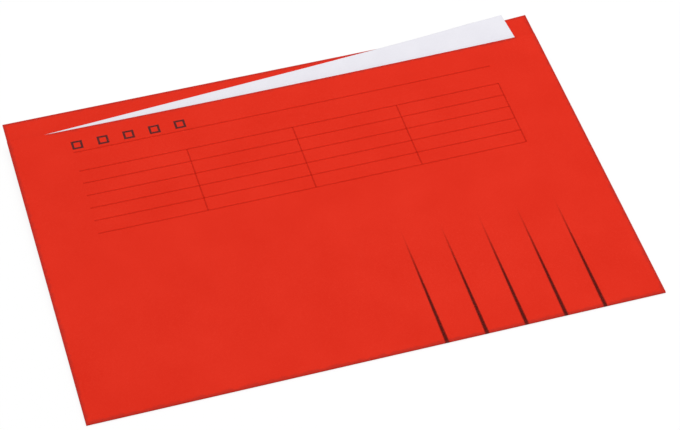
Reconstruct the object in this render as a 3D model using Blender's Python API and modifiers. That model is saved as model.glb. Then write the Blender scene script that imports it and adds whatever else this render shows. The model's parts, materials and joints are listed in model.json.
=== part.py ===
"""Folding document folder: one sheet of card creased along its long edge, lying nearly closed on a
table, with a loose sheet of paper between its covers.

X runs along the fold, Y from the fold to the open edge and Z up. The origin is under the middle of the
back cover, on the surface that the folder lies on.
"""

import math

import bmesh
import bpy
from mathutils import Matrix, Vector

# Card blank: its crease runs out of square by a small slope, so that the back cover's sides lean to the right
# and the front cover's to the left
WIDTH = 0.350
BACK_DEPTH = 0.250
FRONT_DEPTH = 0.230
CREASE_SLOPE = 0.0012
CARD_THICKNESS = 0.0004
CREASE_CLEARANCE = 0.0003

# Loose paper sheet: its near edge's left end is set from the fold, its far right corner from the right edge
SHEET_LENGTH = 0.330
SHEET_DEPTH = 0.210
SHEET_THICKNESS = 0.0001
SHEET_CLEARANCE = 0.0003
SHEET_TURN = math.radians(3.95)
SHEET_FOLD_DISTANCE = 0.0227
SHEET_RIGHT_INSET = 0.0147

# Warp of the card: the back cover lies flat up to CURL_START from its left edge, then curls up to its far
# right corner; the front cover stands a little open and springs up from SPRING_START to both its far corners,
# the right one to RIGHT_LIFT clear of the curl
CURL_START = 0.260
CURL_HEIGHT = 0.0036
FRONT_OPENING = 0.0023
SPRING_START = 0.150
LEFT_SPRING = 0.0009
RIGHT_LIFT = 0.0005

# Faceting of the warped panels and of the round fold
COLUMN_WIDTH = 0.010
ROWS = 6
FOLD_FACETS = 12

# Worked out from the above
FOLD_GAP = SHEET_THICKNESS + 2 * SHEET_CLEARANCE
FOLD_INNER_RADIUS = FOLD_GAP / 2
FOLD_MIDDLE_RADIUS = FOLD_INNER_RADIUS + CARD_THICKNESS / 2
FOLD_Z = CARD_THICKNESS + FOLD_INNER_RADIUS
LEFT_X = -WIDTH / 2
RIGHT_X = WIDTH / 2
FOLD_Y = -BACK_DEPTH / 2
COVER_NEAR_Y = FOLD_Y + CREASE_CLEARANCE
RIGHT_SPRING = CURL_HEIGHT * FRONT_DEPTH / BACK_DEPTH + RIGHT_LIFT - FRONT_OPENING
HINGE_AXIS = Vector((0.0, FOLD_Y - FOLD_MIDDLE_RADIUS * math.pi / 2, FOLD_Z))

CARD_RED = (0.745, 0.031, 0.014, 1.0)
CREASE_RED = (0.62, 0.024, 0.011, 1.0)
PAPER_WHITE = (0.84, 0.82, 0.87, 1.0)
CARD_ROUGHNESS = 0.62
PAPER_ROUGHNESS = 0.80


def rise(x, start, height):
    """Height of a curl at its far edge: nought up to start, then a parabola that ends at the right edge. With
    x mirrored, it ends at the left edge.
    """
    share = max(0.0, x - LEFT_X - start) / (WIDTH - start)
    return height * share * share


def back_underside(x, y):
    """The back cover's lower face: straight from the fold to the curled far edge."""
    return rise(x, CURL_START, CURL_HEIGHT) * (y - FOLD_Y) / BACK_DEPTH


def sheet_underside(x, y):
    """The sheet's lower face follows the back cover under it."""
    return back_underside(x, y) + CARD_THICKNESS + SHEET_CLEARANCE


def front_underside(x, y):
    """The front cover's lower face opens from the fold and springs up to its far corners."""
    spring = rise(x, SPRING_START, RIGHT_SPRING) + rise(-x, WIDTH - SPRING_START, LEFT_SPRING)
    return CARD_THICKNESS + FOLD_GAP + (FRONT_OPENING + spring) * (y - FOLD_Y) / FRONT_DEPTH


def clear_scene():
    for item in list(bpy.data.objects):
        bpy.data.objects.remove(item, do_unlink=True)


def plain_material(name, colour, roughness):
    material = bpy.data.materials.new(name)
    material.use_nodes = True
    shader = material.node_tree.nodes["Principled BSDF"]
    shader.inputs["Base Color"].default_value = colour
    shader.inputs["Roughness"].default_value = roughness
    shader.inputs["Metallic"].default_value = 0.0
    material.diffuse_color = colour
    return material


def grid_object(name, collection, columns, rows, place, vertex_position, thickness, material):
    """A grid bent to shape and thickened along its normals, with its origin and turn given by place."""
    mesh = bpy.data.meshes.new(name)
    bent = bmesh.new()
    bmesh.ops.create_grid(bent, x_segments=columns, y_segments=rows, size=0.5)
    to_local = place.inverted()
    for vertex in bent.verts:
        vertex.co = to_local @ vertex_position(vertex.co.x + 0.5, vertex.co.y + 0.5)
    bent.to_mesh(mesh)
    bent.free()
    mesh.materials.append(material)
    panel = bpy.data.objects.new(name, mesh)
    panel.matrix_world = place
    collection.objects.link(panel)
    solidify = panel.modifiers.new("Thickness", "SOLIDIFY")
    solidify.thickness = thickness
    solidify.offset = 1.0
    solidify.use_even_offset = True
    return panel


def columns_across(length):
    return max(1, round(length / COLUMN_WIDTH))


def build_cover(name, collection, place, depth, slope, underside, material):
    """A card cover from the crease to depth beyond the fold, with its sides and far edge turned by slope."""

    def vertex_position(across, along):
        square_x = LEFT_X + across * WIDTH
        far_y = FOLD_Y + depth - slope * square_x
        y = COVER_NEAR_Y + along * (far_y - COVER_NEAR_Y)
        x = square_x + slope * (y - FOLD_Y)
        return Vector((x, y, underside(x, y)))

    return grid_object(name, collection, columns_across(WIDTH), ROWS, place, vertex_position,
                       CARD_THICKNESS, material)


def build_crease(collection, material):
    """The bent strip of card between the covers, round on the outside of the fold."""

    def vertex_position(across, along):
        turn = (along - 0.5) * math.pi
        y = FOLD_Y - FOLD_INNER_RADIUS * math.cos(turn)
        z = FOLD_Z + FOLD_INNER_RADIUS * math.sin(turn)
        return Vector((LEFT_X + across * WIDTH, y, z))

    crease = grid_object("fold_crease", collection, 1, FOLD_FACETS, Matrix(), vertex_position,
                         CARD_THICKNESS, material)
    crease.data.shade_smooth()
    return crease


def sheet_corner():
    """The sheet's near left corner, in the plane of the table."""
    right_reach = SHEET_LENGTH * math.cos(SHEET_TURN) - SHEET_DEPTH * math.sin(SHEET_TURN)
    return Vector((RIGHT_X - SHEET_RIGHT_INSET - right_reach, FOLD_Y + SHEET_FOLD_DISTANCE, 0.0))


def build_sheet(collection, material):
    """The loose sheet, turned a little, with its far right corner out beyond the back cover."""
    corner = sheet_corner()
    corner.z = sheet_underside(corner.x, corner.y)
    place = Matrix.Translation(corner) @ Matrix.Rotation(SHEET_TURN, 4, "Z")

    def vertex_position(across, along):
        point = place @ Vector((across * SHEET_LENGTH, along * SHEET_DEPTH, 0.0))
        point.z = sheet_underside(point.x, point.y)
        return point

    return grid_object("paper_sheet", collection, columns_across(SHEET_LENGTH), ROWS, place,
                       vertex_position, SHEET_THICKNESS, material)


def main():
    clear_scene()
    folder = bpy.data.collections.new("file_folder")
    bpy.context.scene.collection.children.link(folder)
    build_cover("back_cover", folder, Matrix(), BACK_DEPTH, CREASE_SLOPE, back_underside,
                plain_material("back card", CARD_RED, CARD_ROUGHNESS))
    build_crease(folder, plain_material("creased card", CREASE_RED, CARD_ROUGHNESS))
    build_cover("front_cover", folder, Matrix.Translation(HINGE_AXIS), FRONT_DEPTH, -CREASE_SLOPE,
                front_underside, plain_material("front card", CARD_RED, CARD_ROUGHNESS))
    build_sheet(folder, plain_material("white paper", PAPER_WHITE, PAPER_ROUGHNESS))


main()
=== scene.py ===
"""Looks of a creased card folder with a loose sheet of paper between its covers: card panels, fold, sheet,
printed form and studio stage, laid out as an add-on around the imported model."""

import json
import math

import bpy
from bpy.props import FloatProperty, FloatVectorProperty, IntProperty, PointerProperty
from mathutils import Matrix, Quaternion, Vector


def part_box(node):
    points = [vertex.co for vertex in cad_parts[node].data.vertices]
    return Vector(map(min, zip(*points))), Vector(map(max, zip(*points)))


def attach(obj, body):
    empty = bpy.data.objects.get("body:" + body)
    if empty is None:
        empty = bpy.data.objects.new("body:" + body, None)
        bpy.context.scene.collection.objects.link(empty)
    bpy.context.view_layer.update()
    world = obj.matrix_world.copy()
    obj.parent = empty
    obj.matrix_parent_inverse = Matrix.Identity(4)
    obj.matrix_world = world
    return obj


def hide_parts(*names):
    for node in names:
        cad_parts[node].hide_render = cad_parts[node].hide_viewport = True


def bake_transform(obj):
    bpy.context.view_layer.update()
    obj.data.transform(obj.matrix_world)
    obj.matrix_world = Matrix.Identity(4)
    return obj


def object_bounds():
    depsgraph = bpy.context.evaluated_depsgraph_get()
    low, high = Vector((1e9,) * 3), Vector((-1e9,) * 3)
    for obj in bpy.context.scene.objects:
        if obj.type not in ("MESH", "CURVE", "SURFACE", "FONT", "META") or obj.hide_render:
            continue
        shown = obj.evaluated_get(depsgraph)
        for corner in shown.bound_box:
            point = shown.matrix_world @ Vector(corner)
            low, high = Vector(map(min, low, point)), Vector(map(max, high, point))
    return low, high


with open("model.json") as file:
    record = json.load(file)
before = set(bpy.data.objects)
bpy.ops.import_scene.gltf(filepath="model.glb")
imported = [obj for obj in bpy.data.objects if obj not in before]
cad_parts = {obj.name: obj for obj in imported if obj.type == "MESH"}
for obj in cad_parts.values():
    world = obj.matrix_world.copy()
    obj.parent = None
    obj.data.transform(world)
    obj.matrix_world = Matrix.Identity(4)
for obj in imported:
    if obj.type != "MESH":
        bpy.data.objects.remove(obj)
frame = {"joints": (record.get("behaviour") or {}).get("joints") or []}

bl_info = {
    "name": "Card Folder",
    "version": (1, 0, 0),
    "blender": (4, 5, 0),
    "location": "View3D > Sidebar > Card Folder",
    "description": "Builds a creased card folder with a printed form and a loose sheet of paper in it",
    "category": "Object",
}

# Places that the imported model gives
CAD_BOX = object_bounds()
BACK_LOW, BACK_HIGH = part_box("back_cover")
FRONT_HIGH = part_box("front_cover")[1]
FOLD_LOW, FOLD_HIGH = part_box("fold_crease")
SHEET_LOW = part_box("paper_sheet")[0]
SLIDE_AXIS = next(joint["axis"] for joint in frame["joints"] if joint["name"] == "sheet_slide")

LEFT_X = FOLD_LOW.x
RIGHT_X = FOLD_HIGH.x
MIDDLE_X = (LEFT_X + RIGHT_X) / 2
WIDTH = RIGHT_X - LEFT_X
FOLD_Y = FOLD_HIGH.y
FOLD_Z = (FOLD_LOW.z + FOLD_HIGH.z) / 2
FOLD_RADIUS = FOLD_Z - FOLD_LOW.z
# The crease runs a little out of square: the back cover's sides lean to the right by this slope, and the
# front cover's to the left
CREASE_SLOPE = (BACK_HIGH.x - RIGHT_X) / (BACK_HIGH.y - FOLD_Y)
BACK_DEPTH = BACK_HIGH.y - FOLD_Y - CREASE_SLOPE * WIDTH / 2
FRONT_DEPTH = FRONT_HIGH.y - FOLD_Y - CREASE_SLOPE * WIDTH / 2
SHEET_TURN = math.atan2(-SLIDE_AXIS[0], SLIDE_AXIS[1])

# How fine the meshes are
PANEL_CELL = 0.005
PRINT_CELL = 0.010
FOLD_STEPS = 24
EDGE_SEGMENTS = 2
SMOOTH_ANGLE = math.radians(15)
CUT_ANGLE = math.radians(60)

# Height from which the flat print is dropped onto the front cover, and the share of a film of ink that sinks
# into the card
PRINT_HEIGHT = FRONT_HIGH.z * 2
INK_SUNK = 0.5

# Gloss and fine relief of each finish: specular level, roughness at both ends of its span, and the relief's
# depth and strength
CARD_SPECULAR = 0.10
CARD_ROUGHNESS = (0.72, 0.58)
CARD_RELIEF = (0.00006, 0.35)
FOLD_ROUGHNESS = (0.62, 0.85)
FOLD_RELIEF = (0.00008, 0.45)
PAPER_SPECULAR = 0.20
PAPER_ROUGHNESS = (0.86, 0.74)
PAPER_RELIEF = (0.00003, 0.35)
INK_SPECULAR = 0.05
INK_ROUGHNESS = (0.64, 0.56)
INK_RELIEF = (0.00006, 0.30)

# Fibres of card and paper: how close together they are, the directions they lie in, the noise from which to
# which a fibre shows, and the parts that clouds, grain and fibres have in tone, height and colour
CARD_FIBRES = {"Cloud Scale": 28.0, "Grain Scale": 1800.0, "Fibre Scale": (700.0, 4200.0, 700.0)}
PAPER_FIBRES = {"Cloud Scale": 60.0, "Grain Scale": 2600.0, "Fibre Scale": (900.0, 6000.0, 900.0)}
FIBRE_TURNS = (0.20, 0.85, 1.50, 2.10, 2.75)
CLOUD_DETAIL = 4.0
GRAIN_DETAIL = 3.0
FIBRE_DETAIL = 1.0
FIBRE_SPAN = (0.62, 0.78)
CLOUD_PART = 0.60
GRAIN_PART = 0.40
FIBRE_HEIGHT = 0.40
FIBRE_TINT = 0.30
COLOUR_TONES = (0.35, 0.65)
ROUGHNESS_TONES = (0.3, 0.7)

# Ragged inner side of a rim (on the card, painted shade along its edges), and how it ends short of a corner
RAG_SCALE = 260.0
RAG_DETAIL = 3.0
RAG_SPAN = (0.3, 0.7)
RAG_REACH = (0.6, 1.4)
GAP_BLEND = 0.006
GAP_PUSH = 2.0

# Ink: pin holes, how much paler it is where it is thin, and the soft sides of a line by shares of its width
# from its middle
SPECK_SCALE = 3200.0
SPECK_DETAIL = 2.0
SPECK_SPAN = (0.56, 0.68)
SPECK_COVER = (1.0, 0.35)
THIN_INK = 1.3
LINE_SIDES = (0.1, 0.5)
FOLD_STRIPE_SIDES = (0.2, 0.5)

# The fold: how far the painted shade on its crest reaches by shares of the turn, how much painted shade
# darkens the card off the crest and on it, the rubbed patches of wear, the wear over which it roughens, and
# the turn over which the print begins
CREST_SPAN = (0.06, 0.26)
CREST_PAINTED_SHADE = (0.6, 1.0)
RUB_SCALE = 140.0
RUB_DETAIL = 5.0
RUB_SPAN = (0.50, 0.75)
RUB_AMOUNT = (0.0, 0.5)
WEAR_SPAN = (0.0, 0.8)
PRINTED_TURN = (0.20, 0.35)

# Stage
FLOOR_SIZE = 12.0
FLOOR_DROP = 0.00005
FLOOR_ROUGHNESS = 0.9
FLOOR_GLOW = 1.02
SENSOR_WIDTH = 36.0
WHITE = (1.0, 1.0, 1.0, 1.0)

# Spans of a mask, kinds of group sockets, and the sockets of the colour Mix node, whose names repeat
RISING = (0.0, 1.0)
FALLING = (1.0, 0.0)
VALUE_SOCKET = "NodeSocketFloat"
VECTOR_SOCKET = "NodeSocketVector"
MIX_FACTOR = 0
MIX_A = 6
MIX_B = 7
MIX_RESULT = 2


def length_property(name, description, default):
    return FloatProperty(name=name, description=description, default=default, min=0.0, precision=5,
                         subtype="DISTANCE", unit="LENGTH")


def count_property(name, description, default):
    return IntProperty(name=name, description=description, default=default, min=1)


def share_property(name, description, default):
    return FloatProperty(name=name, description=description, default=default, min=0.0, max=1.0,
                         subtype="FACTOR")


def angle_property(name, description, degrees):
    return FloatProperty(name=name, description=description, default=math.radians(degrees),
                         subtype="ANGLE", unit="ROTATION")


def power_property(name, description, default):
    return FloatProperty(name=name, description=description, default=default, min=0.0, unit="POWER")


def colour_property(name, description, default):
    return FloatVectorProperty(name=name, description=description, default=default, size=3, min=0.0,
                               max=1.0, subtype="COLOR")


def place_property(name, description, default):
    return FloatVectorProperty(name=name, description=description, default=default, size=3, precision=5,
                               subtype="TRANSLATION", unit="LENGTH")


class CardSettings(bpy.types.PropertyGroup):
    """The folded card blank and how it has warped"""

    thickness: length_property("Thickness", "Thickness of the folder card", 0.0004)
    edge_round: length_property("Edge round", "How much the cut edges are rounded", 0.00006)
    curl_start: length_property("Curl start", "Distance from the left edge where the back begins to curl",
                                0.260)
    opening: length_property("Opening", "How far the front's open edge stands up above its fold", 0.0023)
    spring_start: length_property("Spring start",
                                  "Distance from the left edge where the front begins to spring", 0.150)
    left_spring: length_property("Left spring", "How far the front's left corner springs up", 0.0009)
    colour: colour_property("Card colour", "Dyed card", (0.738, 0.0216, 0.0050))
    shade: colour_property("Card shade", "Denser patches of the dyed card", (0.698, 0.0186, 0.0042))
    fibre: colour_property("Fibre colour", "Single fibres that took less dye", (0.820, 0.0620, 0.0340))
    # The rim colour is painted shade: it darkens the card along its cut edges and round the fold.
    rim: colour_property("Rim colour", "Card darkened by handling along its edges", (0.480, 0.0200, 0.0100))
    worn: colour_property("Worn colour", "Paler fibres rubbed open along the fold", (0.760, 0.0700, 0.0450))
    rim_width: length_property("Rim width", "Width of the darkened rim", 0.0029)
    # Left gap and right gap keep the painted edge shade off the far edge near its corners.
    left_gap: length_property("Left gap", "Length of clean edge at the front's far left corner", 0.026)
    right_gap: length_property("Right gap", "Length of clean edge at the front's far right corner", 0.014)


class SheetSettings(bpy.types.PropertyGroup):
    """The loose sheet of paper"""

    length: length_property("Length", "Long side of the sheet as cut", 0.330)
    depth: length_property("Depth", "Short side of the sheet as cut", 0.210)
    thickness: length_property("Thickness", "Thickness of the paper", 0.0001)
    clearance: length_property("Clearance", "Height of the sheet over the back cover", 0.0003)
    bow: length_property("Bow", "How far the sheet's far edge bows up off the back cover", 0.0010)
    bow_crest: length_property("Bow crest", "Distance of the bow's crest from the right edge", 0.030)
    bow_reach: length_property("Bow reach", "Distance from the right edge where the bow dies away", 0.150)
    colour: colour_property("Paper colour", "White paper", (0.812, 0.803, 0.858))
    shade: colour_property("Paper shade", "Denser clouds in the paper", (0.778, 0.769, 0.828))
    fibre: colour_property("Fibre colour", "Single fibres that show a little darker", (0.720, 0.712, 0.770))
    rim: colour_property("Rim colour", "Paper greyed along its cut edges", (0.60, 0.59, 0.63))
    rim_width: length_property("Rim width", "Width of the greyed rim", 0.0006)
    rim_share: share_property("Rim share", "How much the rim is greyed", 0.35)


class PrintSettings(bpy.types.PropertyGroup):
    """What is printed on the front cover"""

    film: length_property("Ink film", "How far the ink stands on the card", 0.00003)
    margin: length_property("Form margin", "Distance of the form from the left and right edges", 0.038)
    heading: length_property("Heading rule", "Distance of the heading rule from the fold", 0.2096)
    table_top: length_property("Table top", "Distance of the table's top rule from the fold", 0.1930)
    row_height: length_property("Row height", "Distance between the table's rules", 0.01081)
    rows: count_property("Rows", "Rows in the table", 5)
    columns: count_property("Columns", "Columns in the table", 4)
    rule_width: length_property("Rule width", "Width of the rules across the form, soft sides included",
                                0.0017)
    column_width: length_property("Column line width",
                                  "Width of the lines between columns, soft sides included", 0.0014)
    boxes: count_property("Index boxes", "Small boxes above the heading rule", 5)
    box_size: length_property("Box size", "Side of an index box", 0.0070)
    box_line: length_property("Box line", "Width of an index box's outline", 0.0014)
    box_pitch: length_property("Box pitch", "Distance between index boxes", 0.0165)
    box_rise: length_property("Box rise", "Distance of the boxes above the heading rule", 0.0025)
    stripes: count_property("Stripes", "Stripes that rise from the fold", 5)
    stripe_pitch: length_property("Stripe pitch", "Distance between stripes", 0.0245)
    stripe_height: length_property("Stripe height", "Length of a stripe", 0.095)
    stripe_start: length_property("Stripe start", "Distance of the stripes from the fold", 0.00002)
    stripe_base: length_property("Stripe base", "Width of a stripe at the fold, soft sides included",
                                 0.0034)
    stripe_tip: share_property("Stripe tip", "Width of a stripe's tip as a share of its base", 0.25)
    stripe_fade: share_property("Stripe fade", "Share of a stripe's length where it begins to fade", 0.25)
    rule_cover: share_property("Rule cover", "How well the rules cover the card", 0.38)
    column_cover: share_property("Column cover", "How well the column lines cover the card", 0.42)
    box_cover: share_property("Box cover", "How well the index boxes cover the card", 0.95)
    stripe_cover: share_property("Stripe cover", "How well the stripes cover the card", 0.95)
    rule_ink: colour_property("Rule ink", "Ink of the rules across the form", (0.560, 0.0130, 0.0030))
    column_ink: colour_property("Column ink", "Ink of the column lines", (0.480, 0.0100, 0.0025))
    box_ink: colour_property("Box ink", "Ink of the index boxes", (0.075, 0.0180, 0.0180))
    stripe_ink: colour_property("Stripe ink", "Ink of the stripes", (0.080, 0.0060, 0.0040))


class StageSettings(bpy.types.PropertyGroup):
    """Camera, lamps and floor"""

    aim: place_property("Aim", "Point that the camera looks at", (0.00817, -0.01001, 0.0))
    distance: length_property("Distance", "Distance from the camera to its aim", 1.4526)
    bearing: angle_property("Bearing", "Turn of the camera's look from straight across the fold", 16.345)
    tilt: angle_property("Tilt", "How far the camera looks down", 46.996)
    roll: angle_property("Roll", "Roll of the camera about its look", 0.137)
    lens: FloatProperty(name="Lens", description="Focal length on a 36 mm sensor", default=126.01,
                        subtype="DISTANCE_CAMERA", unit="CAMERA")
    overhead_place: place_property("Overhead lamp", "Place of the lamp overhead", (0.25, 0.45, 1.7))
    overhead_size: length_property("Overhead size", "Side of the lamp overhead", 1.4)
    overhead_power: power_property("Overhead power", "Power of the lamp overhead", 13.5)
    side_place: place_property("Side lamp", "Place of the lamp at the side", (1.1, -0.5, 1.3))
    side_size: length_property("Side size", "Side of the lamp at the side", 1.0)
    side_power: power_property("Side power", "Power of the lamp at the side", 4.4)
    world_level: share_property("World level", "Light from all round", 0.60)
    floor_colour: colour_property("Floor colour", "Plain pale floor", (0.90, 0.90, 0.90))
    floor_shadow: share_property("Floor shadow", "How much of the floor's shading the camera sees", 0.15)


class FolderSettings(bpy.types.PropertyGroup):
    """Everything that can be set on the folder"""

    card: PointerProperty(type=CardSettings)
    sheet: PointerProperty(type=SheetSettings)
    form: PointerProperty(type=PrintSettings)
    stage: PointerProperty(type=StageSettings)


# Mesh steps

def deselect_everything():
    if bpy.context.mode != "OBJECT":
        bpy.ops.object.mode_set(mode="OBJECT")
    bpy.ops.object.select_all(action="DESELECT")


def pick(*pieces):
    """Selects these pieces alone, with the first one active."""
    deselect_everything()
    for piece in pieces:
        piece.select_set(True)
    bpy.context.view_layer.objects.active = pieces[0]


def name_piece(piece, name):
    piece.name = name
    piece.data.name = name
    return piece


def flat_grid(name, length, depth, centre, columns, rows):
    """A flat grid, length along X and depth along Y, with its place in its mesh."""
    deselect_everything()
    bpy.ops.mesh.primitive_grid_add(x_subdivisions=columns, y_subdivisions=rows, size=1.0, location=centre)
    bpy.ops.transform.resize(value=(length, depth, 1.0), center_override=centre)
    bpy.ops.object.transform_apply(location=True, rotation=True, scale=True)
    return name_piece(bpy.context.object, name)


def cells_along(length, cell):
    return max(1, round(length / cell))


def push(piece, name, axis, distance, share_at):
    """Moves the piece along an axis by distance times share_at(point), with a painted weight and a Displace
    modifier."""
    group = piece.vertex_groups.new(name=name)
    for vertex in piece.data.vertices:
        group.add([vertex.index], share_at(vertex.co), "REPLACE")
    moved = piece.modifiers.new(name, "DISPLACE")
    moved.direction = axis
    moved.mid_level = 0.0
    moved.strength = distance
    moved.vertex_group = name


def thicken(piece, thickness):
    wall = piece.modifiers.new("Thickness", "SOLIDIFY")
    wall.thickness = thickness
    wall.offset = 1.0
    wall.use_even_offset = True


def round_cut_edges(piece, width):
    """Rounds the sharp edges of a card panel, apart from those at the fold, where the card runs on."""
    pick(piece)
    bpy.ops.object.mode_set(mode="EDIT")
    bpy.ops.mesh.select_mode(type="EDGE")
    bpy.ops.mesh.select_all(action="DESELECT")
    bpy.ops.mesh.edges_select_sharp(sharpness=CUT_ANGLE)
    bpy.ops.object.mode_set(mode="OBJECT")
    points = piece.data.vertices
    for edge in piece.data.edges:
        if all(points[index].co.y < FOLD_Y + width for index in edge.vertices):
            edge.select = False
    bpy.ops.object.mode_set(mode="EDIT")
    bpy.ops.mesh.bevel(offset=width, offset_type="OFFSET", segments=EDGE_SEGMENTS, affect="EDGES")
    bpy.ops.mesh.select_mode(type="VERT")
    bpy.ops.object.mode_set(mode="OBJECT")


def shade_smooth(piece):
    """Shades the piece smooth, with its cut edges crisp."""
    pick(piece)
    bpy.ops.object.shade_smooth_by_angle(angle=SMOOTH_ANGLE)


def apply_modifiers(piece):
    """Applies every modifier in order and shades the piece smooth."""
    pick(piece)
    for modifier in list(piece.modifiers):
        bpy.ops.object.modifier_apply(modifier=modifier.name)
    shade_smooth(piece)


def join_pieces(pieces, name):
    pick(*pieces)
    bpy.ops.object.join()
    return name_piece(bpy.context.object, name)


def copies_along(piece, count, step):
    """The piece and its copies, each moved on by step and with a mesh of its own."""
    made = [piece]
    for _ in range(count - 1):
        pick(made[-1])
        bpy.ops.object.duplicate(linked=False)
        bpy.ops.transform.translate(value=step)
        bpy.ops.object.transform_apply(location=True, rotation=False, scale=False)
        made.append(bpy.context.object)
    return made


# Shader nodes

def add_node(tree, kind, inputs=None, **options):
    """Adds a node, sets its options, and fills its inputs with values or links."""
    node = tree.nodes.new(kind)
    for name, value in options.items():
        setattr(node, name, value)
    for key, value in (inputs or {}).items():
        if isinstance(value, bpy.types.NodeSocket):
            tree.links.new(value, node.inputs[key])
        else:
            node.inputs[key].default_value = value
    return node


def calculate(tree, operation, first, second=0.0, clamp=False):
    return add_node(tree, "ShaderNodeMath", {0: first, 1: second}, operation=operation,
                    use_clamp=clamp).outputs[0]


def calculate_vector(tree, operation, first, second):
    return add_node(tree, "ShaderNodeVectorMath", {0: first, 1: second}, operation=operation).outputs[0]


def parts_of(tree, vector):
    return add_node(tree, "ShaderNodeSeparateXYZ", {0: vector}).outputs


def mix_colours(tree, factor, first, second):
    mixed = add_node(tree, "ShaderNodeMix", {MIX_FACTOR: factor, MIX_A: first, MIX_B: second},
                     data_type="RGBA")
    return mixed.outputs[MIX_RESULT]


def remap(tree, value, old, new, smooth=False):
    """The value carried over from the span old to the span new, and held at its ends."""
    inputs = {"Value": value, "From Min": old[0], "From Max": old[1], "To Min": new[0], "To Max": new[1]}
    interpolation = "SMOOTHSTEP" if smooth else "LINEAR"
    return add_node(tree, "ShaderNodeMapRange", inputs, interpolation_type=interpolation).outputs["Result"]


def noise(tree, vector, scale, detail):
    inputs = {"Vector": vector, "Scale": scale, "Detail": detail}
    return add_node(tree, "ShaderNodeTexNoise", inputs).outputs["Fac"]


def opaque(colour):
    return (*colour, 1.0)


def new_group(name, inputs, outputs):
    """A shader node group with named sockets; gives its tree, its input sockets and its output node."""
    tree = bpy.data.node_groups.new(name, "ShaderNodeTree")
    for socket_name, kind in inputs.items():
        tree.interface.new_socket(name=socket_name, in_out="INPUT", socket_type=kind)
    for socket_name in outputs:
        tree.interface.new_socket(name=socket_name, in_out="OUTPUT", socket_type=VALUE_SOCKET)
    entry = tree.nodes.new("NodeGroupInput")
    result = tree.nodes.new("NodeGroupOutput")
    return tree, entry.outputs, result


def use_group(tree, group, inputs):
    return add_node(tree, "ShaderNodeGroup", inputs, node_tree=group).outputs


def fibre_group():
    """Fibres of paper and card: a tone that clouds over the surface, a mask of single fibres that lie in a
    few directions, and a height for fine relief."""
    name = "Paper fibre"
    if name in bpy.data.node_groups:
        return bpy.data.node_groups[name]
    tree, given, result = new_group(name, {"Vector": VECTOR_SOCKET, "Cloud Scale": VALUE_SOCKET,
                                           "Grain Scale": VALUE_SOCKET, "Fibre Scale": VECTOR_SOCKET},
                                    ["Tone", "Fibre", "Height"])
    place = given["Vector"]
    cloud = noise(tree, place, given["Cloud Scale"], CLOUD_DETAIL)
    grain = noise(tree, place, given["Grain Scale"], GRAIN_DETAIL)
    fibre = 0.0
    for turn in FIBRE_TURNS:
        lined = add_node(tree, "ShaderNodeMapping", {"Vector": place, "Rotation": (0.0, 0.0, turn)})
        drawn_out = calculate_vector(tree, "MULTIPLY", lined.outputs["Vector"], given["Fibre Scale"])
        field = noise(tree, drawn_out, 1.0, FIBRE_DETAIL)
        fibre = calculate(tree, "MAXIMUM", remap(tree, field, FIBRE_SPAN, RISING, smooth=True), fibre)
    cloud_part = calculate(tree, "MULTIPLY", cloud, CLOUD_PART)
    grain_part = calculate(tree, "MULTIPLY", grain, GRAIN_PART)
    fibre_part = calculate(tree, "MULTIPLY", fibre, FIBRE_HEIGHT)
    tree.links.new(calculate(tree, "ADD", cloud_part, grain_part), result.inputs["Tone"])
    tree.links.new(fibre, result.inputs["Fibre"])
    tree.links.new(calculate(tree, "ADD", grain_part, fibre_part), result.inputs["Height"])
    return tree


def rim_group():
    """How near a point is to the edges of a rectangle, broken up a little: 1 on the edge, 0 inside. The far
    edge's rim stops short of the sides by Left Gap and Right Gap."""
    name = "Cut rim"
    if name in bpy.data.node_groups:
        return bpy.data.node_groups[name]
    tree, given, result = new_group(name, {"Vector": VECTOR_SOCKET, "Low": VECTOR_SOCKET,
                                           "High": VECTOR_SOCKET, "Width": VALUE_SOCKET,
                                           "Left Gap": VALUE_SOCKET, "Right Gap": VALUE_SOCKET}, ["Rim"])
    from_low = parts_of(tree, calculate_vector(tree, "SUBTRACT", given["Vector"], given["Low"]))
    from_high = parts_of(tree, calculate_vector(tree, "SUBTRACT", given["High"], given["Vector"]))
    ragged = remap(tree, noise(tree, given["Vector"], RAG_SCALE, RAG_DETAIL), RAG_SPAN, RAG_REACH)
    reach = calculate(tree, "MULTIPLY", given["Width"], ragged)
    side = calculate(tree, "MINIMUM", from_low["X"], from_high["X"])
    past_gaps = calculate(tree, "MINIMUM", calculate(tree, "SUBTRACT", from_low["X"], given["Left Gap"]),
                          calculate(tree, "SUBTRACT", from_high["X"], given["Right Gap"]))
    pushed_off = remap(tree, past_gaps, (-GAP_BLEND, 0.0), (GAP_PUSH, 0.0))
    far = calculate(tree, "ADD", from_high["Y"], calculate(tree, "MULTIPLY", reach, pushed_off))
    distance = calculate(tree, "MINIMUM", side, calculate(tree, "MINIMUM", from_low["Y"], far))
    share = calculate(tree, "DIVIDE", distance, reach)
    tree.links.new(remap(tree, share, RISING, FALLING, smooth=True), result.inputs["Rim"])
    return tree


def ink_group():
    """How well ink covers the card: nearly all over, with pin holes where fibres stand up."""
    name = "Ink cover"
    if name in bpy.data.node_groups:
        return bpy.data.node_groups[name]
    tree, given, result = new_group(name, {"Vector": VECTOR_SOCKET, "Speck Scale": VALUE_SOCKET,
                                           "Cover": VALUE_SOCKET}, ["Cover"])
    specks = noise(tree, given["Vector"], given["Speck Scale"], SPECK_DETAIL)
    holes = remap(tree, specks, SPECK_SPAN, SPECK_COVER, smooth=True)
    tree.links.new(calculate(tree, "MULTIPLY", holes, given["Cover"], clamp=True), result.inputs["Cover"])
    return tree


def ink_cover(tree, place, cover):
    inputs = {"Vector": place, "Speck Scale": SPECK_SCALE, "Cover": cover}
    return use_group(tree, ink_group(), inputs)["Cover"]


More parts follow.
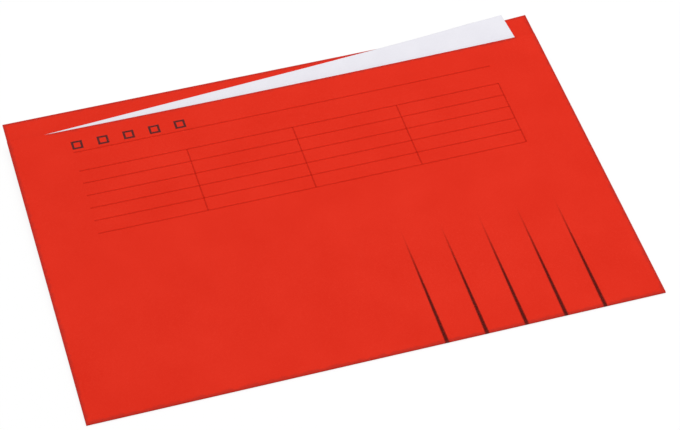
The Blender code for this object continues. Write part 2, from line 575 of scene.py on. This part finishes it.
def new_material(name, specular):
    """A material with its node tree, its Principled shader and its Object coordinates."""
    material = bpy.data.materials.new(name)
    material.use_nodes = True
    tree = material.node_tree
    shader = tree.nodes["Principled BSDF"]
    shader.inputs["Specular IOR Level"].default_value = specular
    place = tree.nodes.new("ShaderNodeTexCoord").outputs["Object"]
    return material, tree, shader, place


def relief(tree, shader, height, depth, strength):
    bump = add_node(tree, "ShaderNodeBump", {"Height": height, "Distance": depth, "Strength": strength})
    tree.links.new(bump.outputs["Normal"], shader.inputs["Normal"])


def fibrous_colour(tree, fibre, stock):
    """Colour of a body of card or paper, clouded and with single fibres that stand out."""
    tone = remap(tree, fibre["Tone"], COLOUR_TONES, RISING)
    body = mix_colours(tree, tone, opaque(stock.shade), opaque(stock.colour))
    tint = calculate(tree, "MULTIPLY", fibre["Fibre"], FIBRE_TINT)
    return mix_colours(tree, tint, body, opaque(stock.fibre))


def card_material(name, card, high, left_gap=0.0, right_gap=0.0):
    """Dyed card with clouded fibres and painted shade along its edges, for a panel from the fold to high."""
    material, tree, shader, place = new_material(name, CARD_SPECULAR)
    fibre = use_group(tree, fibre_group(), {"Vector": place, **CARD_FIBRES})
    rim = use_group(tree, rim_group(), {"Vector": place, "Low": FOLD_LOW, "High": high,
                                        "Width": card.rim_width, "Left Gap": left_gap,
                                        "Right Gap": right_gap})
    body = fibrous_colour(tree, fibre, card)
    # Painted shade: the rim mixes the darker rim colour into the card along its edges.
    tree.links.new(mix_colours(tree, rim["Rim"], body, opaque(card.rim)), shader.inputs["Base Color"])
    tree.links.new(remap(tree, fibre["Tone"], ROUGHNESS_TONES, CARD_ROUGHNESS), shader.inputs["Roughness"])
    relief(tree, shader, fibre["Height"], *CARD_RELIEF)
    return material


def stripe_share(tree, place, form):
    """Share of ink where the stripes run on over the fold: full in the middle of each, none beside it."""
    from_first = calculate(tree, "SUBTRACT", RIGHT_X - form.margin, parts_of(tree, place)["X"])
    stripes_in = calculate(tree, "DIVIDE", from_first, form.stripe_pitch)
    not_before = calculate(tree, "MAXIMUM", calculate(tree, "ROUND", stripes_in), 0.0)
    nearest = calculate(tree, "MINIMUM", not_before, form.stripes - 1.0)
    off_middle = calculate(tree, "ABSOLUTE", calculate(tree, "SUBTRACT", stripes_in, nearest))
    share_of_base = form.stripe_base / form.stripe_pitch
    sides = [side * share_of_base for side in FOLD_STRIPE_SIDES]
    return remap(tree, off_middle, sides, FALLING, smooth=True)


def fold_material(card, form):
    """The same card where it bends: painted shade darkens it, most over the outer crest, its fibres are
    rubbed open along the outside of the fold, and the stripes run on over it. Bend is the share of the turn
    from the back to the front, and Outside marks the outer face."""
    material, tree, shader, place = new_material("Folded card", CARD_SPECULAR)
    fibre = use_group(tree, fibre_group(), {"Vector": place, **CARD_FIBRES})
    body = fibrous_colour(tree, fibre, card)
    bend = add_node(tree, "ShaderNodeAttribute", attribute_name="Bend").outputs["Fac"]
    outside = add_node(tree, "ShaderNodeAttribute", attribute_name="Outside").outputs["Fac"]
    off_crest = calculate(tree, "ABSOLUTE", calculate(tree, "SUBTRACT", bend, 0.5))
    crest = calculate(tree, "MULTIPLY", outside, remap(tree, off_crest, CREST_SPAN, FALLING, smooth=True))
    rubbed = remap(tree, noise(tree, place, RUB_SCALE, RUB_DETAIL), RUB_SPAN, RUB_AMOUNT, smooth=True)
    wear = calculate(tree, "MULTIPLY", crest, rubbed)
    # Painted shade: the fold is mixed towards the rim colour, partly all over and fully on the outer crest.
    darkened = mix_colours(tree, remap(tree, crest, RISING, CREST_PAINTED_SHADE), body, opaque(card.rim))
    bare = mix_colours(tree, wear, darkened, opaque(card.worn))
    printed = calculate(tree, "MULTIPLY", outside, remap(tree, bend, PRINTED_TURN, RISING, smooth=True))
    covered = calculate(tree, "MULTIPLY", printed, ink_cover(tree, place, form.stripe_cover))
    inked = calculate(tree, "MULTIPLY", covered, stripe_share(tree, place, form))
    tree.links.new(mix_colours(tree, inked, bare, opaque(form.stripe_ink)), shader.inputs["Base Color"])
    tree.links.new(remap(tree, wear, WEAR_SPAN, FOLD_ROUGHNESS), shader.inputs["Roughness"])
    relief(tree, shader, fibre["Height"], *FOLD_RELIEF)
    return material


def paper_material(sheet, corner):
    """White paper with faint clouds and fibres, slightly greyed along its cut edges."""
    material, tree, shader, place = new_material("Sheet paper", PAPER_SPECULAR)
    to_corner = Matrix.Rotation(-SHEET_TURN, 3, "Z") @ corner
    squared = add_node(tree, "ShaderNodeMapping", {"Vector": place, "Location": -to_corner,
                                                   "Rotation": (0.0, 0.0, -SHEET_TURN)})
    fibre = use_group(tree, fibre_group(), {"Vector": place, **PAPER_FIBRES})
    rim = use_group(tree, rim_group(), {"Vector": squared.outputs["Vector"],
                                        "High": (sheet.length, sheet.depth, 0.0),
                                        "Width": sheet.rim_width})
    body = fibrous_colour(tree, fibre, sheet)
    greyed = calculate(tree, "MULTIPLY", rim["Rim"], sheet.rim_share)
    tree.links.new(mix_colours(tree, greyed, body, opaque(sheet.rim)), shader.inputs["Base Color"])
    tree.links.new(remap(tree, fibre["Tone"], ROUGHNESS_TONES, PAPER_ROUGHNESS), shader.inputs["Roughness"])
    relief(tree, shader, fibre["Height"], *PAPER_RELIEF)
    return material


def soft_sides(tree, axis):
    """Share of ink across a printed line, along an axis of its UV map: full in the middle, none at the
    sides."""
    spread = parts_of(tree, tree.nodes.new("ShaderNodeTexCoord").outputs["UV"])
    off_middle = calculate(tree, "ABSOLUTE", calculate(tree, "SUBTRACT", spread[axis], 0.5))
    return remap(tree, off_middle, LINE_SIDES, FALLING, smooth=True)


def ink_material(name, ink, cover, across=None, fade=None):
    """A film of ink that lets the card through where it is thin. across is the UV axis over which a line's
    sides are soft, and fade gives the distances from the fold where it starts and ends to thin out."""
    material, tree, shader, place = new_material(name, INK_SPECULAR)
    covered = ink_cover(tree, place, cover)
    if across:
        covered = calculate(tree, "MULTIPLY", covered, soft_sides(tree, across))
    if fade:
        fading = [FOLD_Y + distance for distance in fade]
        full = remap(tree, parts_of(tree, place)["Y"], fading, FALLING, smooth=True)
        covered = calculate(tree, "MULTIPLY", covered, full)
    fibre = use_group(tree, fibre_group(), {"Vector": place, **CARD_FIBRES})
    thin = tuple(min(1.0, part * THIN_INK) for part in ink)
    tree.links.new(mix_colours(tree, fibre["Tone"], opaque(ink), opaque(thin)), shader.inputs["Base Color"])
    tree.links.new(covered, shader.inputs["Alpha"])
    tree.links.new(remap(tree, fibre["Tone"], ROUGHNESS_TONES, INK_ROUGHNESS), shader.inputs["Roughness"])
    relief(tree, shader, fibre["Height"], *INK_RELIEF)
    return material


# Card pieces

def curl_share(x, start):
    """Share of a curl's height along its far edge: nought up to start, then a parabola that ends at the
    right edge. With x mirrored, it ends at the left edge."""
    share = max(0.0, x - LEFT_X - start) / (WIDTH - start)
    return share * share


def curl_height(card):
    return BACK_HIGH.z - card.thickness


def back_curl(card, point):
    """Share of the back cover's curl at a point of the cover or of the sheet on it."""
    return curl_share(point.x, card.curl_start) * (point.y - FOLD_Y) / BACK_DEPTH


def card_panel(name, depth, slope, near_z):
    """A flat grid of card from the fold, with its lower face at near_z and its sides and far edge turned by
    slope."""
    left_depth = depth - slope * LEFT_X
    centre = (MIDDLE_X, FOLD_Y + left_depth / 2, near_z)
    panel = flat_grid(name, WIDTH, left_depth, centre, cells_along(WIDTH, PANEL_CELL),
                      cells_along(depth, PANEL_CELL))
    push(panel, "Leaning sides", "X", slope * depth, lambda point: (point.y - FOLD_Y) / left_depth)
    push(panel, "Turned far edge", "Y", -slope * WIDTH,
         lambda point: (point.y - FOLD_Y) / left_depth * (point.x - LEFT_X) / WIDTH)
    return panel


def finish_card(piece, card, material):
    thicken(piece, card.thickness)
    apply_modifiers(piece)
    round_cut_edges(piece, card.edge_round)
    shade_smooth(piece)
    piece.data.materials.append(material)


class FOLDER_OT_back_panel(bpy.types.Operator):
    """Add the back cover, which lies on the table and curls up at its far right corner"""

    bl_idname = "card_folder.back_panel"
    bl_label = "Back Cover"

    def execute(self, context):
        card = context.scene.card_folder.card
        panel = card_panel("back_panel", BACK_DEPTH, CREASE_SLOPE, BACK_LOW.z)
        push(panel, "Curl", "Z", curl_height(card), lambda point: back_curl(card, point))
        finish_card(panel, card, card_material("Back card", card, BACK_HIGH))
        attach(panel, "back_cover")
        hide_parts("back_cover")
        return {"FINISHED"}


class FOLDER_OT_front_panel(bpy.types.Operator):
    """Add the front cover, which stands a little open and springs up at its far corners"""

    bl_idname = "card_folder.front_panel"
    bl_label = "Front Cover"

    def execute(self, context):
        card = context.scene.card_folder.card
        near_z = FOLD_HIGH.z - card.thickness
        right_spring = FRONT_HIGH.z - FOLD_HIGH.z - card.opening
        left_start = WIDTH - card.spring_start
        panel = card_panel("front_panel", FRONT_DEPTH, -CREASE_SLOPE, near_z)
        push(panel, "Opening", "Z", card.opening, lambda point: (point.y - FOLD_Y) / FRONT_DEPTH)
        push(panel, "Right spring", "Z", right_spring,
             lambda point: curl_share(point.x, card.spring_start) * (point.y - FOLD_Y) / FRONT_DEPTH)
        push(panel, "Left spring", "Z", card.left_spring,
             lambda point: curl_share(-point.x, left_start) * (point.y - FOLD_Y) / FRONT_DEPTH)
        material = card_material("Front card", card, FRONT_HIGH, card.left_gap, card.right_gap)
        finish_card(panel, card, material)
        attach(panel, "front_cover")
        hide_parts("front_cover")
        return {"FINISHED"}


def mark_bend(piece, card):
    """Marks each vertex with its share of the turn round the fold and whether it is on the outer face."""
    turn = piece.data.attributes.new("Bend", "FLOAT", "POINT")
    outer = piece.data.attributes.new("Outside", "FLOAT", "POINT")
    for vertex in piece.data.vertices:
        out_y = FOLD_Y - vertex.co.y
        up = vertex.co.z - FOLD_Z
        turn.data[vertex.index].value = 0.5 + math.atan2(up, max(out_y, 0.0)) / math.pi
        outer.data[vertex.index].value = float(math.hypot(out_y, up) > FOLD_RADIUS - card.thickness / 2)


class FOLDER_OT_fold_bend(bpy.types.Operator):
    """Add the strip of card that bends round the fold between the covers"""

    bl_idname = "card_folder.fold_bend"
    bl_label = "Fold"

    def execute(self, context):
        card = context.scene.card_folder.card
        form = context.scene.card_folder.form
        section = Vector((MIDDLE_X, FOLD_Y, FOLD_LOW.z + card.thickness / 2))
        deselect_everything()
        bpy.ops.mesh.primitive_plane_add(size=1.0, location=section, rotation=(math.pi / 2, 0.0, 0.0))
        bend = name_piece(bpy.context.object, "fold_bend")
        bpy.ops.object.transform_apply(location=True, rotation=True, scale=True)
        bpy.ops.object.mode_set(mode="EDIT")
        bpy.ops.transform.resize(value=(WIDTH, 1.0, card.thickness), center_override=section)
        bpy.ops.mesh.spin(steps=FOLD_STEPS, angle=math.pi, center=(0.0, FOLD_Y, FOLD_Z),
                          axis=(1.0, 0.0, 0.0))
        bpy.ops.mesh.select_all(action="SELECT")
        bpy.ops.mesh.normals_make_consistent(inside=False)
        bpy.ops.object.mode_set(mode="OBJECT")
        shade_smooth(bend)
        mark_bend(bend, card)
        bend.data.materials.append(fold_material(card, form))
        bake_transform(bend)
        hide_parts("fold_crease")
        return {"FINISHED"}


def bow_share(sheet, corner, point):
    """Share of the sheet's bow at a point: it swells from the right edge to its crest, dies away to the
    left, and fades out towards the near edge."""
    squared = Matrix.Rotation(-SHEET_TURN, 3, "Z") @ (point - corner)
    from_right = sheet.length - squared.x
    right_flank = from_right / sheet.bow_crest
    left_flank = (sheet.bow_reach - from_right) / (sheet.bow_reach - sheet.bow_crest)
    swell = max(0.0, min(right_flank, left_flank))
    return math.sin(swell * math.pi / 2) ** 2 * squared.y / sheet.depth


class FOLDER_OT_loose_sheet(bpy.types.Operator):
    """Add the loose sheet of paper that lies between the covers, turned a little"""

    bl_idname = "card_folder.loose_sheet"
    bl_label = "Loose Sheet"

    def execute(self, context):
        card = context.scene.card_folder.card
        sheet = context.scene.card_folder.sheet
        corner = Vector((SHEET_LOW.x + sheet.depth * math.sin(SHEET_TURN), SHEET_LOW.y, 0.0))
        near_z = BACK_LOW.z + card.thickness + sheet.clearance
        centre = corner + Vector((sheet.length / 2, sheet.depth / 2, near_z))
        paper = flat_grid("loose_sheet", sheet.length, sheet.depth, centre,
                          cells_along(sheet.length, PANEL_CELL), cells_along(sheet.depth, PANEL_CELL))
        bpy.ops.object.mode_set(mode="EDIT")
        bpy.ops.mesh.select_all(action="SELECT")
        bpy.ops.transform.rotate(value=-SHEET_TURN, orient_axis="Z", center_override=corner)
        bpy.ops.object.mode_set(mode="OBJECT")
        push(paper, "Curl", "Z", curl_height(card), lambda point: back_curl(card, point))
        push(paper, "Bow", "Z", sheet.bow, lambda point: bow_share(sheet, corner, point))
        thicken(paper, sheet.thickness)
        apply_modifiers(paper)
        paper.data.materials.append(paper_material(sheet, corner))
        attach(paper, "paper_sheet")
        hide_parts("paper_sheet")
        return {"FINISHED"}


# Printed form

def lay_ink(piece, form, material, layer=1):
    """Lays flat shapes on the front cover's outside as a film of ink, over the layers printed before."""
    laid = piece.modifiers.new("Lay on card", "SHRINKWRAP")
    laid.target = bpy.data.objects["front_panel"]
    laid.wrap_method = "PROJECT"
    laid.use_project_z = True
    laid.use_negative_direction = True
    laid.use_positive_direction = False
    laid.offset = -form.film * INK_SUNK
    thicken(piece, form.film * (layer + INK_SUNK))
    apply_modifiers(piece)
    piece.data.materials.append(material)
    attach(piece, "front_cover")


def rule_across(name, form, reach):
    """A straight rule across the form, reach from the fold."""
    length = WIDTH - 2 * form.margin
    centre = (MIDDLE_X, FOLD_Y + reach, PRINT_HEIGHT)
    return flat_grid(name, length, form.rule_width, centre, cells_along(length, PRINT_CELL), 1)


class FOLDER_OT_form_rules(bpy.types.Operator):
    """Print the heading rule and the table's rules across the form"""

    bl_idname = "card_folder.form_rules"
    bl_label = "Form Rules"

    def execute(self, context):
        form = context.scene.card_folder.form
        heading = rule_across("heading_rule", form, form.heading)
        top = rule_across("table_rule", form, form.table_top)
        rules = copies_along(top, form.rows + 1, (0.0, -form.row_height, 0.0))
        piece = join_pieces([heading, *rules], "form_rules")
        lay_ink(piece, form, ink_material("Rule ink", form.rule_ink, form.rule_cover, across="Y"))
        return {"FINISHED"}


class FOLDER_OT_form_columns(bpy.types.Operator):
    """Print the lines between the table's columns"""

    bl_idname = "card_folder.form_columns"
    bl_label = "Form Columns"

    def execute(self, context):
        form = context.scene.card_folder.form
        height = form.rows * form.row_height
        pitch = (WIDTH - 2 * form.margin) / form.columns
        centre = (LEFT_X + form.margin + pitch, FOLD_Y + form.table_top - height / 2, PRINT_HEIGHT)
        first = flat_grid("column_line", form.column_width, height, centre, 1,
                          cells_along(height, PRINT_CELL))
        piece = join_pieces(copies_along(first, form.columns, (pitch, 0.0, 0.0)), "form_columns")
        ink = ink_material("Column ink", form.column_ink, form.column_cover, across="X")
        lay_ink(piece, form, ink, layer=2)
        return {"FINISHED"}


class FOLDER_OT_index_boxes(bpy.types.Operator):
    """Print a row of empty index boxes above the heading rule"""

    bl_idname = "card_folder.index_boxes"
    bl_label = "Index Boxes"

    def execute(self, context):
        form = context.scene.card_folder.form
        centre = (LEFT_X + form.margin + form.box_size / 2,
                  FOLD_Y + form.heading + form.box_rise + form.box_size / 2, PRINT_HEIGHT)
        first = flat_grid("index_box", form.box_size, form.box_size, centre, 1, 1)
        bpy.ops.object.mode_set(mode="EDIT")
        bpy.ops.mesh.select_all(action="SELECT")
        bpy.ops.mesh.inset(thickness=form.box_line, depth=0.0)
        bpy.ops.mesh.delete(type="FACE")
        bpy.ops.object.mode_set(mode="OBJECT")
        piece = join_pieces(copies_along(first, form.boxes, (form.box_pitch, 0.0, 0.0)), "index_boxes")
        lay_ink(piece, form, ink_material("Box ink", form.box_ink, form.box_cover))
        return {"FINISHED"}


class FOLDER_OT_stripes(bpy.types.Operator):
    """Print plain stripes that rise from the fold, taper and fade out"""

    bl_idname = "card_folder.stripes"
    bl_label = "Stripes"

    def execute(self, context):
        form = context.scene.card_folder.form
        centre = Vector((RIGHT_X - form.margin, FOLD_Y + form.stripe_start + form.stripe_height / 2,
                         PRINT_HEIGHT))
        first = flat_grid("stripe", form.stripe_base, form.stripe_height, centre, 1, 1)
        for vertex in first.data.vertices:
            vertex.select = vertex.co.y > centre.y
        for edge in first.data.edges:
            edge.select = all(first.data.vertices[index].select for index in edge.vertices)
        for face in first.data.polygons:
            face.select = False
        bpy.ops.object.mode_set(mode="EDIT")
        bpy.ops.transform.resize(value=(form.stripe_tip, 1.0, 1.0), center_override=centre)
        bpy.ops.mesh.select_all(action="SELECT")
        bpy.ops.mesh.subdivide(number_cuts=cells_along(form.stripe_height, PRINT_CELL))
        bpy.ops.object.mode_set(mode="OBJECT")
        piece = join_pieces(copies_along(first, form.stripes, (-form.stripe_pitch, 0.0, 0.0)), "stripes")
        fade = (form.stripe_height * form.stripe_fade, form.stripe_height)
        ink = ink_material("Stripe ink", form.stripe_ink, form.stripe_cover, across="X", fade=fade)
        lay_ink(piece, form, ink)
        return {"FINISHED"}


# Stage

def seen_directly(tree):
    """1 where the camera, a glossy ray or a transmitted ray looks, and 0 for light that bounces."""
    path = tree.nodes.new("ShaderNodeLightPath").outputs
    seen = calculate(tree, "MAXIMUM", path["Is Camera Ray"], path["Is Glossy Ray"])
    return calculate(tree, "MAXIMUM", seen, path["Is Transmission Ray"])


def floor_material(stage):
    """A pale floor that looks white to the camera and keeps a part of the folder's shadow."""
    material = bpy.data.materials.new("Floor")
    material.use_nodes = True
    tree = material.node_tree
    shader = tree.nodes["Principled BSDF"]
    shader.inputs["Base Color"].default_value = opaque(stage.floor_colour)
    shader.inputs["Roughness"].default_value = FLOOR_ROUGHNESS
    shader.inputs["Specular IOR Level"].default_value = 0.0
    glow = add_node(tree, "ShaderNodeEmission", {"Color": WHITE, "Strength": FLOOR_GLOW})
    share = calculate(tree, "MULTIPLY", seen_directly(tree), 1.0 - stage.floor_shadow)
    mixed = add_node(tree, "ShaderNodeMixShader",
                     {0: share, 1: shader.outputs["BSDF"], 2: glow.outputs["Emission"]})
    tree.links.new(mixed.outputs["Shader"], tree.nodes["Material Output"].inputs["Surface"])
    return material


def studio_world(stage):
    """White to the camera, and a plain even light on the folder."""
    world = bpy.data.worlds.new("Studio")
    world.use_nodes = True
    tree = world.node_tree
    background = tree.nodes["Background"]
    background.inputs["Color"].default_value = WHITE
    level = remap(tree, seen_directly(tree), RISING, (stage.world_level, 1.0))
    tree.links.new(level, background.inputs["Strength"])
    return world


def area_lamp(name, place, size, power):
    """A square lamp that points at the origin, under the middle of the folder."""
    lamp = bpy.data.lights.new(name, "AREA")
    lamp.shape = "SQUARE"
    lamp.size = size
    lamp.energy = power
    holder = bpy.data.objects.new(name, lamp)
    holder.location = place
    holder.rotation_euler = (-Vector(place)).to_track_quat("-Z", "Y").to_euler()
    bpy.context.scene.collection.objects.link(holder)


def studio_camera(stage):
    """A camera that looks at its aim from a distance, along its bearing and tilt."""
    lens = bpy.data.cameras.new("Camera")
    lens.lens = stage.lens
    lens.sensor_width = SENSOR_WIDTH
    camera = bpy.data.objects.new("Camera", lens)
    look = Vector((math.sin(stage.bearing) * math.cos(stage.tilt),
                   math.cos(stage.bearing) * math.cos(stage.tilt), -math.sin(stage.tilt)))
    camera.rotation_mode = "QUATERNION"
    camera.rotation_quaternion = Quaternion(look, stage.roll) @ look.to_track_quat("-Z", "Y")
    camera.location = Vector(stage.aim) - look * stage.distance
    bpy.context.scene.collection.objects.link(camera)
    return camera


class FOLDER_OT_stage(bpy.types.Operator):
    """Set the floor, the lamps, the world and the camera"""

    bl_idname = "card_folder.stage"
    bl_label = "Stage"

    def execute(self, context):
        scene = context.scene
        stage = scene.card_folder.stage
        deselect_everything()
        bpy.ops.mesh.primitive_plane_add(size=FLOOR_SIZE, location=(0.0, 0.0, CAD_BOX[0].z - FLOOR_DROP))
        floor = name_piece(bpy.context.object, "floor")
        floor.data.materials.append(floor_material(stage))
        scene.world = studio_world(stage)
        scene.view_settings.view_transform = "Standard"
        area_lamp("Overhead lamp", stage.overhead_place, stage.overhead_size, stage.overhead_power)
        area_lamp("Side lamp", stage.side_place, stage.side_size, stage.side_power)
        scene.camera = studio_camera(stage)
        return {"FINISHED"}


class FOLDER_PT_sidebar(bpy.types.Panel):
    """Lists the steps that build the folder"""

    bl_idname = "FOLDER_PT_sidebar"
    bl_label = "Card Folder"
    bl_space_type = "VIEW_3D"
    bl_region_type = "UI"
    bl_category = "Card Folder"

    def draw(self, context):
        for step in STEPS:
            self.layout.operator(step.bl_idname)


STEPS = (FOLDER_OT_stage, FOLDER_OT_back_panel, FOLDER_OT_front_panel, FOLDER_OT_fold_bend,
         FOLDER_OT_loose_sheet, FOLDER_OT_form_rules, FOLDER_OT_form_columns, FOLDER_OT_index_boxes,
         FOLDER_OT_stripes)
CLASSES = (CardSettings, SheetSettings, PrintSettings, StageSettings, FolderSettings, *STEPS,
           FOLDER_PT_sidebar)


def register():
    for item in CLASSES:
        bpy.utils.register_class(item)
    bpy.types.Scene.card_folder = PointerProperty(type=FolderSettings)


def unregister():
    del bpy.types.Scene.card_folder
    for item in reversed(CLASSES):
        bpy.utils.unregister_class(item)


def main():
    register()
    bpy.ops.card_folder.stage()
    bpy.ops.card_folder.back_panel()
    bpy.ops.card_folder.front_panel()
    bpy.ops.card_folder.fold_bend()
    bpy.ops.card_folder.loose_sheet()
    bpy.ops.card_folder.form_rules()
    bpy.ops.card_folder.form_columns()
    bpy.ops.card_folder.index_boxes()
    bpy.ops.card_folder.stripes()


if __name__ == "__main__":
    main()
